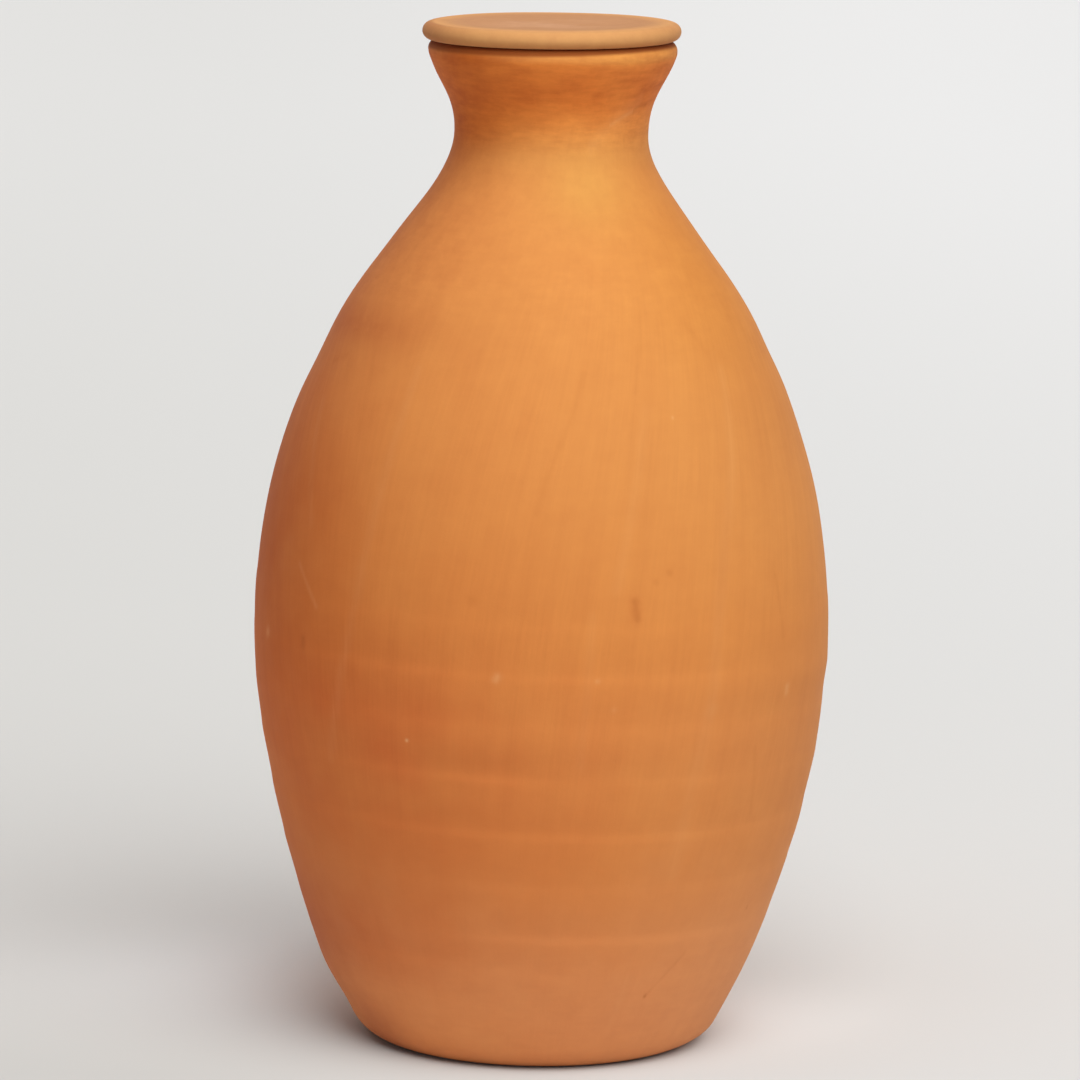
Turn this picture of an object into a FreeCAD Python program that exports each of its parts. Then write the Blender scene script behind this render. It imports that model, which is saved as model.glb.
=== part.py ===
import FreeCAD, Part
import math
import os

# Irrigation olla: a hollow jar of unglazed clay, thrown in one piece, that is buried up
# to its neck and filled with water, and the loose disc lid that closes its mouth.
# Lengths are millimetres. The jar stands on the origin with its axis along +Z.
# A lean is in degrees from vertical, positive where the wall widens on its way up.
# A pull is how far a stretch of wall runs on straight from a station before it bends,
# as a share of the straight line between that station and the next one.

# Foot and floor
foot_radius = 45.7
heel_round = 16.0
heel_lean = 31.9
heel_pull = 0.27
floor_thickness = 9.0
floor_margin = 5.0
floor_round = 18.0

# Belly, the widest place
belly_radius = 92.9
belly_height = 134.8
belly_wall = 6.5
belly_pull_down = 0.27
belly_pull_up = 0.45

# Shoulder, where the wall turns from bulging to hollow
shoulder_radius = 55.3
shoulder_height = 253.3
shoulder_lean = -36.4
shoulder_wall = 6.0
shoulder_pull_down = 0.21
shoulder_pull_up = 0.60

# Neck, the narrowest place
neck_radius = 31.2
neck_height = 294.5
neck_wall = 6.0
neck_pull_down = 0.21
neck_pull_up = 0.48

# Lip and the flat seat on top of it
jar_height = 325.0
lip_radius = 40.2
lip_round = 3.6
lip_lean = 16.0
lip_pull = 0.36
seat_width = 1.8
mouth_round = 1.8
mouth_lean = 27.0

# Lid
lid_radius = 41.1
lid_thickness = 5.7
lid_border = 3.0
dish_depth = 0.8
spigot_depth = 5.0
spigot_clearance = 1.5
spigot_round = 1.5

AXIS_BASE = FreeCAD.Vector(0, 0, 0)
AXIS_UP = FreeCAD.Vector(0, 0, 1)


def place(radius, height):
    """Point of the outline at a radius and a height."""
    return FreeCAD.Vector(radius, 0, height)


def line(start, end):
    """Straight edge between two points."""
    return Part.LineSegment(start, end).toShape()


def arc(centre, radius, first_angle, last_angle):
    """Arc in the outline's plane. Angles are degrees from outwards, towards up."""
    points = []
    for angle in (first_angle, (first_angle + last_angle) / 2, last_angle):
        turn = math.radians(angle)
        points.append(centre + place(radius * math.cos(turn), radius * math.sin(turn)))
    return Part.Arc(*points).toShape()


class Station:
    """A place that the wall passes through, its lean there and its pull each way."""

    def __init__(self, radius, height, lean, pull_down=0.0, pull_up=0.0):
        self.point = place(radius, height)
        self.lean = lean
        self.pull_down = pull_down
        self.pull_up = pull_up

    def upwards(self):
        """Unit direction of the wall, going up."""
        return place(math.sin(math.radians(self.lean)), math.cos(math.radians(self.lean)))

    def inner(self, wall):
        """The station on the cavity's side of a wall of the given thickness."""
        inwards = place(-self.upwards().z, self.upwards().x)
        point = self.point + inwards * wall
        return Station(point.x, point.z, self.lean, self.pull_down, self.pull_up)


def span(lower, upper):
    """Smooth edge from one station up to the next, tangent to the wall at both."""
    chord = lower.point.distanceToPoint(upper.point)
    curve = Part.BezierCurve()
    curve.setPoles([
        lower.point,
        lower.point + lower.upwards() * (lower.pull_up * chord),
        upper.point - upper.upwards() * (upper.pull_down * chord),
        upper.point,
    ])
    return curve.toShape()


def radius_at(edge, height):
    """Radius at which an edge of the outline crosses a height."""
    level = line(place(0, height), place(belly_radius, height))
    nearest_points = edge.distToShape(level)[1]
    return nearest_points[0][0].x


def turned(edges):
    """Solid that a closed outline sweeps round the axis."""
    outline = Part.Face(Part.Wire(edges))
    return outline.revolve(AXIS_BASE, AXIS_UP, 360)


def base(flat_radius, height, round_radius):
    """Flat disc seen from the side, the arc that rounds it up, and the wall's first station."""
    centre = place(flat_radius, height + round_radius)
    flat = line(place(0, height), place(flat_radius, height))
    rounding = arc(centre, round_radius, -90, -heel_lean)
    end = rounding.Vertexes[-1].Point
    return flat, rounding, Station(end.x, end.z, heel_lean, pull_up=heel_pull)


def wall_stations():
    """Stations of the outer wall above the heel, up to the widest line of the lip."""
    return (
        Station(belly_radius, belly_height, 0, belly_pull_down, belly_pull_up),
        Station(shoulder_radius, shoulder_height, shoulder_lean, shoulder_pull_down, shoulder_pull_up),
        Station(neck_radius, neck_height, 0, neck_pull_down, neck_pull_up),
        Station(lip_radius, jar_height - lip_round, lip_lean, pull_down=lip_pull),
    )


def mouth_flare():
    """Inner face of the flare, from the narrowest place of the neck up to the mouth."""
    neck = wall_stations()[2].inner(neck_wall)
    turn = math.radians(mouth_lean)
    seat_inner_radius = lip_radius - lip_round - seat_width
    mouth_radius = seat_inner_radius - mouth_round * math.cos(turn)
    mouth_height = jar_height - mouth_round + mouth_round * math.sin(turn)
    mouth = Station(mouth_radius, mouth_height, mouth_lean, pull_down=lip_pull)
    return span(neck, mouth)


def make_jar():
    """Hollow jar: rounded heel, egg-shaped wall, flared neck, rounded lip, open mouth."""
    foot, heel_arc, heel = base(foot_radius, 0, heel_round)
    floor, floor_arc, well = base(foot_radius - floor_margin, floor_thickness, floor_round)
    belly, shoulder, neck, lip = wall_stations()
    cavity_belly = belly.inner(belly_wall)
    cavity_shoulder = shoulder.inner(shoulder_wall)
    cavity_neck = neck.inner(neck_wall)

    seat_outer_radius = lip_radius - lip_round
    seat_inner_radius = seat_outer_radius - seat_width
    lip_arc = arc(place(seat_outer_radius, jar_height - lip_round), lip_round, 0, 90)
    mouth_arc = arc(place(seat_inner_radius, jar_height - mouth_round), mouth_round, 90, 180 - mouth_lean)

    return turned([
        foot,
        heel_arc,
        span(heel, belly),
        span(belly, shoulder),
        span(shoulder, neck),
        span(neck, lip),
        lip_arc,
        line(place(seat_outer_radius, jar_height), place(seat_inner_radius, jar_height)),
        mouth_arc,
        mouth_flare(),
        span(cavity_shoulder, cavity_neck),
        span(cavity_belly, cavity_shoulder),
        span(well, cavity_belly),
        floor_arc,
        floor,
        line(place(0, floor_thickness), AXIS_BASE),
    ])


def make_lid():
    """Disc with a full round edge, a shallow dish on top and a locating spigot below."""
    seat_height = jar_height
    top_height = seat_height + lid_thickness
    edge_round = lid_thickness / 2
    edge_centre = place(lid_radius - edge_round, seat_height + edge_round)

    spigot_height = seat_height - spigot_depth
    spigot_radius = radius_at(mouth_flare(), spigot_height) - spigot_clearance
    spigot_centre = place(spigot_radius - spigot_round, spigot_height + spigot_round)

    dish_radius = edge_centre.x - lid_border
    dish_curve = (dish_radius ** 2 + dish_depth ** 2) / (2 * dish_depth)
    dish_centre = place(0, top_height - dish_depth + dish_curve)
    dish_angle = math.degrees(math.asin(dish_radius / dish_curve)) - 90

    return turned([
        line(place(0, spigot_height), place(spigot_centre.x, spigot_height)),
        arc(spigot_centre, spigot_round, -90, 0),
        line(place(spigot_radius, spigot_centre.z), place(spigot_radius, seat_height)),
        line(place(spigot_radius, seat_height), place(edge_centre.x, seat_height)),
        arc(edge_centre, edge_round, -90, 90),
        line(place(edge_centre.x, top_height), place(dish_radius, top_height)),
        arc(dish_centre, dish_curve, dish_angle, -90),
        line(place(0, top_height - dish_depth), place(0, spigot_height)),
    ])


def main():
    """Write each piece of the olla to its own file."""
    os.makedirs("parts", exist_ok=True)
    pieces = {"jar": make_jar(), "lid": make_lid()}
    for name, shape in pieces.items():
        shape.exportStep("parts/" + name + ".step")
        print(name, "volume", round(shape.Volume / 1000, 1), "cm3, valid", shape.isValid())


main()
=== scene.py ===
import logging
import math
from dataclasses import dataclass
from enum import Enum

import bpy
import numpy as np
from mathutils import Matrix, Vector


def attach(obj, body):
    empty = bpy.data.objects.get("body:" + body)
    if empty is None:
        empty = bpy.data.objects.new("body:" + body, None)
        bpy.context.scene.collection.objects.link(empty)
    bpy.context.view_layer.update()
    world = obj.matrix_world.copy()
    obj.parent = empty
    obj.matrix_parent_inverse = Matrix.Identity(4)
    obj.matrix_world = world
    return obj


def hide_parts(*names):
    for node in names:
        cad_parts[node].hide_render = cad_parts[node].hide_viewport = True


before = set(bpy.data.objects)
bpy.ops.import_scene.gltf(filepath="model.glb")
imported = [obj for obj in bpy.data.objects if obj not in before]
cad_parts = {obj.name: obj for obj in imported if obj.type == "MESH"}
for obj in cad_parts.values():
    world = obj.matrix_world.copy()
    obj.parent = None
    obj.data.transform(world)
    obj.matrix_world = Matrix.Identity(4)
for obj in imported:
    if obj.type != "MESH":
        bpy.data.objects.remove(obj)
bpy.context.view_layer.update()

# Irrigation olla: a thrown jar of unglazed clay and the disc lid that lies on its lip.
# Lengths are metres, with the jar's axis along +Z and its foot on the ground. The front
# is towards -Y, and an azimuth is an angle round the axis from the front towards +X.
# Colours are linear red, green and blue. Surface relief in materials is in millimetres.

MILLIMETRE = 0.001
BELLY_HEIGHT = 0.1348
LEFT = -90.0
RIGHT = 90.0

Colour = tuple[float, float, float]
Place = tuple[float, float, float]
Setting = bool | str | int | float

log = logging.getLogger("olla")


# Outlines


@dataclass(frozen=True)
class Station:
    """A place that a wall passes through, its lean there and its pull each way.

    The lean is in degrees from vertical, positive where the wall widens upwards. A pull is
    how far the wall runs on straight before it bends, as a share of the chord to the next
    station.
    """

    radius: float
    height: float
    lean: float = 0.0
    pull_down: float = 0.0
    pull_up: float = 0.0

    def point(self) -> np.ndarray:
        """The place as (radius, height)."""
        return np.array((self.radius, self.height))

    def upwards(self) -> np.ndarray:
        """Unit direction of the wall, going up."""
        turn = math.radians(self.lean)
        return np.array((math.sin(turn), math.cos(turn)))

    def inner(self, wall: float) -> "Station":
        """The station on the cavity's side of a wall of the given thickness."""
        along, up = self.upwards()
        return Station(
            self.radius - up * wall, self.height + along * wall, self.lean, self.pull_down, self.pull_up
        )


def straight(start: tuple[float, float], end: tuple[float, float], count: int) -> np.ndarray:
    """Points at equal steps from start to end, as rows of (radius, height)."""
    return np.linspace(start, end, count)


def arc(
    centre: tuple[float, float], radius: float, first: float, last: float, count: int, rise: float = 1.0
) -> np.ndarray:
    """Points at equal angles along a circle, or along an upright or a flat ellipse.

    Args:
        centre: Centre as (radius, height).
        radius: Radius of the circle.
        first: Angle of the first point, in degrees from outwards towards up.
        last: Angle of the last point.
        count: How many points.
        rise: How high the ellipse is for its breadth.

    Returns:
        Rows of (radius, height): centre + radius * (cos angle, rise * sin angle).
    """
    angles = np.radians(np.linspace(first, last, count))
    return np.array(centre) + radius * np.column_stack((np.cos(angles), rise * np.sin(angles)))


def span(lower: Station, upper: Station, count: int) -> np.ndarray:
    """Points along the smooth curve between two stations, tangent to the wall at both.

    With s from 0 to 1, a point is (1-s)^3 P0 + 3 s (1-s)^2 P1 + 3 s^2 (1-s) P2 + s^3 P3,
    where P0 and P3 are the stations and P1 and P2 lie along the wall from them, each by
    its pull times the chord.

    Args:
        lower: Station where the curve starts.
        upper: Station where it ends.
        count: How many points, at nearly equal steps of length.

    Returns:
        Rows of (radius, height).
    """
    chord = float(np.linalg.norm(upper.point() - lower.point()))
    poles = (
        lower.point(),
        lower.point() + lower.upwards() * lower.pull_up * chord,
        upper.point() - upper.upwards() * upper.pull_down * chord,
        upper.point(),
    )
    s = np.linspace(0, 1, 400)[:, None]
    weights = ((1 - s) ** 3, 3 * s * (1 - s) ** 2, 3 * s**2 * (1 - s), s**3)
    curve = sum(weight * pole for weight, pole in zip(weights, poles))
    length = np.concatenate(([0.0], np.cumsum(np.linalg.norm(np.diff(curve, axis=0), axis=1))))
    wanted = np.linspace(0, length[-1], count)
    return np.column_stack([np.interp(wanted, length, column) for column in curve.T])


def joined(*runs: np.ndarray) -> np.ndarray:
    """One outline from runs that each start where the last one ends."""
    return np.concatenate([runs[0]] + [run[1:] for run in runs[1:]])


def outward(outline: np.ndarray) -> np.ndarray:
    """Unit normals of an outline that goes out from the axis, up, and back in.

    The tangent is the difference of a point's neighbours, and the normal is the tangent
    turned a quarter to the right: (dr, dh) becomes (dh, -dr).
    """
    tangent = np.gradient(outline, axis=0)
    normal = np.column_stack((tangent[:, 1], -tangent[:, 0]))
    return normal / np.linalg.norm(normal, axis=1, keepdims=True)


def eased(values: np.ndarray, low: float, high: float) -> np.ndarray:
    """Smooth step: 3t^2 - 2t^3, where t runs from 0 at low to 1 at high, which may be lower."""
    t = np.clip((values - low) / (high - low), 0, 1)
    return t * t * (3 - 2 * t)


def turned_from(azimuth: np.ndarray, middle: float) -> np.ndarray:
    """Angle from a middle in degrees to each azimuth, from -pi to pi."""
    return np.remainder(azimuth - math.radians(middle) + math.pi, math.tau) - math.pi


def unevenness(azimuth: np.ndarray, height: np.ndarray, length: float, seed: int) -> np.ndarray:
    """Soft bumps and hollows of a hand-made surface, about -1 to 1.

    The sum of 14 waves, cos(n * azimuth + k * height + phase), with whole numbers n so that
    it closes on itself, and k up to one wave per length.

    Args:
        azimuth: Angles round the axis, in radians.
        height: Heights, of the same shape.
        length: Shortest wave up the axis.
        seed: Seed of the waves' numbers and phases.

    Returns:
        The unevenness at each place.
    """
    source = np.random.default_rng(seed)
    waves = 14
    turns = source.integers(0, 6, waves)[:, None, None]
    climbs = source.uniform(-1, 1, waves)[:, None, None] * math.tau / length
    phases = source.uniform(0, math.tau, waves)[:, None, None]
    return np.cos(turns * azimuth + climbs * height + phases).sum(axis=0) / math.sqrt(2 * waves)


def revolved(outline: np.ndarray, columns: int) -> tuple[np.ndarray, np.ndarray, np.ndarray]:
    """Grid that an outline sweeps round the axis.

    Args:
        outline: Rows of (radius, height).
        columns: How many places round the axis.

    Returns:
        Radius, azimuth and height, each with a row per outline point and a column per place.
    """
    angles = np.linspace(0, math.tau, columns, endpoint=False) - math.pi
    radius, azimuth = np.meshgrid(outline[:, 0], angles, indexing="ij")
    height = np.repeat(outline[:, 1:], columns, axis=1)
    return radius, azimuth, height


def closed_mesh(name: str, radius: np.ndarray, azimuth: np.ndarray, height: np.ndarray) -> bpy.types.Object:
    """Object whose surface is a grid round the axis, closed at both poles.

    A point is (radius * sin azimuth, -radius * cos azimuth, height). The first and the last
    row are closed with a fan of triangles round a point on the axis.

    Args:
        name: Name of the piece.
        radius: Radius of each grid point, the rows going out from the foot and back in.
        azimuth: Azimuth of each point, in radians.
        height: Height of each point.

    Returns:
        The object, linked to the scene, smooth and with its faces outwards.
    """
    rows, columns = radius.shape
    grid = np.stack((radius * np.sin(azimuth), -radius * np.cos(azimuth), height), axis=-1)
    first_pole = (0.0, 0.0, float(height[0].mean()))
    last_pole = (0.0, 0.0, float(height[-1].mean()))
    points = np.concatenate((grid.reshape(-1, 3), (first_pole, last_pole)))

    index = np.arange(rows * columns).reshape(rows, columns)
    after = np.roll(index, -1, axis=1)
    quads = np.stack((index[:-1], after[:-1], after[1:], index[1:]), axis=-1).reshape(-1, 4)
    foot_fan = np.column_stack((np.full(columns, rows * columns), after[0], index[0]))
    top_fan = np.column_stack((index[-1], after[-1], np.full(columns, rows * columns + 1)))

    mesh = bpy.data.meshes.new(name)
    mesh.from_pydata(points.tolist(), [], quads.tolist() + foot_fan.tolist() + top_fan.tolist())
    mesh.shade_smooth()
    piece = bpy.data.objects.new(name, mesh)
    bpy.context.scene.collection.objects.link(piece)
    return piece


# Shader maths


class Wire:
    """The output of a shader node, on which ordinary arithmetic adds Math nodes."""

    def __init__(self, graph: "Graph", socket: bpy.types.NodeSocket) -> None:
        """Keep the graph that the output belongs to, and its socket."""
        self.graph = graph
        self.socket = socket

    def __add__(self, other: "Value") -> "Wire":
        """Sum of two values."""
        return self.graph.maths("ADD", self, other)

    def __radd__(self, other: "Value") -> "Wire":
        """Sum, with the number written first."""
        return self.graph.maths("ADD", other, self)

    def __sub__(self, other: "Value") -> "Wire":
        """Difference of two values."""
        return self.graph.maths("SUBTRACT", self, other)

    def __rsub__(self, other: "Value") -> "Wire":
        """Difference, with the number written first."""
        return self.graph.maths("SUBTRACT", other, self)

    def __mul__(self, other: "Value") -> "Wire":
        """Product of two values."""
        return self.graph.maths("MULTIPLY", self, other)

    def __rmul__(self, other: "Value") -> "Wire":
        """Product, with the number written first."""
        return self.graph.maths("MULTIPLY", other, self)

    def __neg__(self) -> "Wire":
        """The value with its sign turned."""
        return self.graph.maths("MULTIPLY", self, -1.0)

    def between(self, low: float, high: float) -> "Wire":
        """Smooth step from 0 at low to 1 at high, or down again where high is lower."""
        settings = {"interpolation_type": "SMOOTHSTEP"}
        if low < high:
            return self.graph.node("ShaderNodeMapRange", settings, {"Value": self, 1: low, 2: high})
        return 1 - self.graph.node("ShaderNodeMapRange", settings, {"Value": self, 1: high, 2: low})


Value = Wire | float | tuple[float, ...]


class Graph:
    """The node tree of a material or a world, being built."""

    def __init__(self, tree: bpy.types.NodeTree) -> None:
        """Start from an empty tree."""
        tree.nodes.clear()
        self.tree = tree

    def node(
        self,
        kind: str,
        settings: dict[str, Setting] | None = None,
        values: dict[str | int, Value] | None = None,
        output: str | int = 0,
    ) -> Wire:
        """Add a node.

        Args:
            kind: The node's type.
            settings: Its properties, which are set first.
            values: Values or wires for its input sockets, by name or number.
            output: Output socket to hand back, by name or number.

        Returns:
            The wire from that output.
        """
        node = self.tree.nodes.new(kind)
        for name, setting in (settings or {}).items():
            setattr(node, name, setting)
        for name, value in (values or {}).items():
            socket = node.inputs[name]
            if isinstance(value, Wire):
                self.tree.links.new(value.socket, socket)
            elif isinstance(value, tuple) and socket.type == "RGBA":
                socket.default_value = (*value, 1.0)
            else:
                socket.default_value = value
        return Wire(self, node.outputs[output]) if node.outputs else Wire(self, node.inputs[0])

    def maths(self, operation: str, first: Value, second: Value = 0.0) -> Wire:
        """Math node on one or two values."""
        return self.node("ShaderNodeMath", {"operation": operation}, {0: first, 1: second})

    def vectors(self, operation: str, first: Value, second: Value, output: str | int = 0) -> Wire:
        """Vector Math node on two vectors. Its output "Value" is a single number."""
        return self.node("ShaderNodeVectorMath", {"operation": operation}, {0: first, 1: second}, output)

    def mix(self, factor: Value, first: Value, second: Value) -> Wire:
        """Colour that goes from the first to the second as the factor goes from 0 to 1."""
        return self.node("ShaderNodeMix", {"data_type": "RGBA"}, {0: factor, 6: first, 7: second}, output=2)

    def split(self, vector: Wire) -> tuple[Wire, Wire, Wire]:
        """The three parts of a vector."""
        parts = self.node("ShaderNodeSeparateXYZ", {}, {0: vector})
        return tuple(Wire(self, socket) for socket in parts.socket.node.outputs)

    def gathered(self, x: Value, y: Value, z: Value) -> Wire:
        """Vector from its three parts."""
        return self.node("ShaderNodeCombineXYZ", {}, {0: x, 1: y, 2: z})

    def tinted(self, colour: Wire, change: Wire) -> Wire:
        """Colour made lighter by a small share, or deeper where the share is negative.

        Red is multiplied by 1 + change, and green and blue by 1 + 1.6 * change, because a
        paler clay is also a less saturated one.
        """
        paler = change * 1.6 + 1.0
        return self.vectors("MULTIPLY", colour, self.gathered(change + 1.0, paler, paler))

    def noise(self, vector: Wire, scale: float, detail: float = 2.0, roughness: float = 0.5) -> Wire:
        """Cloudy noise from 0 to 1, about one blob per 1 / scale of the vector's units."""
        values = {"Vector": vector, "Scale": scale, "Detail": detail, "Roughness": roughness}
        return self.node("ShaderNodeTexNoise", {}, values)


def new_material(name: str) -> tuple[bpy.types.Material, Graph]:
    """Empty material, and the graph to build it with."""
    material = bpy.data.materials.new(name)
    material.use_nodes = True
    return material, Graph(material.node_tree)


@dataclass
class Surface:
    """Places on a turned piece that its finish refers to, as wires of one graph."""

    graph: Graph
    point: Wire
    x: Wire
    y: Wire
    height: Wire
    radius: Wire
    azimuth: Wire

    @classmethod
    def of(cls, graph: Graph) -> "Surface":
        """Read the object's coordinates and work out radius and azimuth from them."""
        point = graph.node("ShaderNodeTexCoord", output="Object")
        x, y, height = graph.split(point)
        radius = graph.maths("SQRT", x * x + y * y)
        azimuth = graph.maths("ARCTAN2", x, -y)
        return cls(graph, point, x, y, height, radius, azimuth)

    def bell(self, azimuth: float, spread: float) -> Wire:
        """Soft patch on one side of the piece: exp((cos(turn) - 1) / spread^2).

        Turn is the angle from the patch's middle. Near it this is a bell curve.

        Args:
            azimuth: Azimuth of the middle, in degrees.
            spread: Width of the patch, in radians.

        Returns:
            The mask, 1 in the middle.
        """
        turn = self.graph.maths("COSINE", self.azimuth - math.radians(azimuth))
        return self.graph.maths("EXPONENT", (turn - 1.0) * (1.0 / spread**2))

    def hill(self, height: float, reach: float) -> Wire:
        """Soft level band: exp(-(climb / reach)^2 / 2), with the climb from its height."""
        climb = (self.height - height) * (1.0 / reach)
        return self.graph.maths("EXPONENT", climb * climb * -0.5)

    def spot(self, x: float, y: float, reach: float) -> Wire:
        """Soft round spot seen from above: exp(-(distance / reach)^2) from its middle."""
        across = self.x - x
        ahead = self.y - y
        square = across * across + ahead * ahead
        return self.graph.maths("EXPONENT", square * (-1.0 / reach**2))

    def stretched(self, around: float, along: float, turned: Value = 0.0) -> Wire:
        """Coordinates for a pattern that is stretched round or along the axis.

        The direction from the axis, turned back by an angle, is multiplied by around, and
        the height by along. It has no seam behind.

        Args:
            around: Blobs per radian round the axis.
            along: Blobs per metre along it.
            turned: Radians that the pattern is carried round to the right at each place.

        Returns:
            The vector for a texture of scale 1.
        """
        turn = self.azimuth - turned
        across = self.graph.maths("SINE", turn) * around
        ahead = self.graph.maths("COSINE", turn) * around
        return self.graph.gathered(across, ahead, self.height * along)


@dataclass(frozen=True)
class Patch:
    """A soft patch of the wall: Surface.bell round the axis times Surface.hill up it."""

    azimuth: float
    spread: float
    height: float
    reach: float
    strength: float = 1.0

    def mask(self, surface: Surface) -> Wire:
        """The patch, its strength in the middle."""
        bell = surface.bell(self.azimuth, self.spread)
        return bell * surface.hill(self.height, self.reach) * self.strength


@dataclass(frozen=True)
class Fade:
    """A side of the wall that changes from one height to another, and stays so beyond it."""

    azimuth: float
    spread: float
    start: float
    end: float
    strength: float

    def mask(self, surface: Surface) -> Wire:
        """The fade, its strength beyond its end."""
        bell = surface.bell(self.azimuth, self.spread)
        return bell * surface.height.between(self.start, self.end) * self.strength


# The rim


@dataclass(frozen=True)
class RimTilt:
    """How the rim dips, to the left and a little to the back, and the lid with it."""

    to_left: float = 0.0113
    to_back: float = 0.0045
    pivot: float = 0.0411

    def drop(self, radius: np.ndarray, azimuth: np.ndarray) -> np.ndarray:
        """How far each place sinks: slope times the distance from the highest edge.

        The distance to the left is pivot - x and the one to the back is pivot + y.
        """
        x = radius * np.sin(azimuth)
        y = -radius * np.cos(azimuth)
        return self.to_left * (self.pivot - x) + self.to_back * (self.pivot + y)

    def level(self, surface: Surface) -> Wire:
        """Height that each place of the rim had before it dipped."""
        left = (self.pivot - surface.x) * self.to_left
        back = (self.pivot + surface.y) * self.to_back
        return surface.height + left + back


# Marks


class Tone(Enum):
    """What a mark on the clay looks like."""

    PALE = "pale"
    DARK = "dark"


@dataclass(frozen=True)
class Mark:
    """A stroke, smear, stain or chip, along a path of one or more places.

    A place is (azimuth in degrees, height in metres). The width is the distance, in metres,
    at which the mark has faded to about a third. The relief is how deep it is cut, in
    millimetres.
    """

    path: tuple[tuple[float, float], ...]
    width: float
    tone: Tone
    strength: float
    relief: float = 0.0

    def mask(self, place: Wire, arm: float, rough: Wire) -> Wire:
        """How strongly the mark covers each place: exp(-rough * (distance / width)^2).

        The distance is the one to the nearest stretch of the path.

        Args:
            place: Vector of the length round the axis from the front, which is azimuth times
                arm, and the height.
            arm: Radius at which lengths round the axis are true.
            rough: Noise round 1 that frays the edge.

        Returns:
            The mask, 1 on the path.
        """
        graph = place.graph
        corners = [np.array((math.radians(azimuth) * arm, level, 0.0)) for azimuth, level in self.path]
        starts = corners[:-1] or corners
        ends = corners[1:] or corners
        nearest, *others = [self.distance(place, start, end) for start, end in zip(starts, ends)]
        for other in others:
            nearest = graph.maths("MINIMUM", nearest, other)
        return graph.maths("EXPONENT", nearest * nearest * rough * (-1.0 / self.width**2))

    def distance(self, place: Wire, start: np.ndarray, end: np.ndarray) -> Wire:
        """Distance from each place to one straight stretch of the path.

        The place is measured along the stretch, as a share from 0 to 1 of its length, and the
        distance is the one to the point of the stretch at that share.

        Args:
            place: The places, as for the mask.
            start: One end of the stretch, as (length round the axis, height, 0).
            end: The other end.

        Returns:
            The distance, in metres.
        """
        graph = place.graph
        along = end - start
        if not along.any():
            return graph.vectors("DISTANCE", place, tuple(start), "Value")
        beside = graph.vectors("SUBTRACT", place, tuple(start))
        share = graph.vectors("DOT_PRODUCT", beside, tuple(along / (along @ along)), "Value")
        share = graph.node("ShaderNodeClamp", {}, {0: share})
        values = {0: tuple(along), "Scale": share}
        reached = graph.node("ShaderNodeVectorMath", {"operation": "SCALE"}, values)
        return graph.vectors("DISTANCE", beside, reached, "Value")


@dataclass(frozen=True)
class Marks:
    """Every mark of one piece, and the noise that frays their edges."""

    marks: tuple[Mark, ...]
    arm: float
    fray: float = 380.0

    def masks(self, surface: Surface) -> list[Wire]:
        """Mask of each mark, in their order."""
        graph = surface.graph
        place = graph.gathered(surface.azimuth * self.arm, surface.height, 0.0)
        rough = 0.3 + 1.4 * graph.noise(surface.point, self.fray)
        return [mark.mask(place, self.arm, rough) for mark in self.marks]

    def covered(self, masks: list[Wire], tone: Tone) -> Value:
        """Sum of the masks of one tone, each times its mark's strength."""
        return sum(mask * mark.strength for mark, mask in zip(self.marks, masks) if mark.tone is tone)

    def carved(self, masks: list[Wire]) -> Value:
        """Sum of the depths of the marks that are cut into the clay, in millimetres."""
        return sum(mask * mark.relief for mark, mask in zip(self.marks, masks) if mark.relief)


# Finishes


@dataclass(frozen=True)
class ClayShader:
    """What the two clays have in common: matt, dry and slightly dusty."""

    name: str
    roughness: float = 0.88
    gloss: float = 0.20
    dust: float = 0.03
    dust_roughness: float = 0.5

    def finish(self, graph: Graph, colour: Wire, roughness: Wire, relief: Wire) -> None:
        """Join colour, roughness and relief to one surface shader.

        Args:
            graph: The material's graph.
            colour: Colour of the clay.
            roughness: Roughness of the clay.
            relief: Height of the fine relief, in millimetres.
        """
        bump = graph.node("ShaderNodeBump", {}, {"Strength": 1.0, "Distance": MILLIMETRE, "Height": relief})
        shader = graph.node(
            "ShaderNodeBsdfPrincipled",
            {},
            {
                "Base Color": colour,
                "Roughness": roughness,
                "Normal": bump,
                "Specular IOR Level": self.gloss,
                "Sheen Weight": self.dust,
                "Sheen Roughness": self.dust_roughness,
            },
        )
        graph.node("ShaderNodeOutputMaterial", {}, {"Surface": shader})


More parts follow.
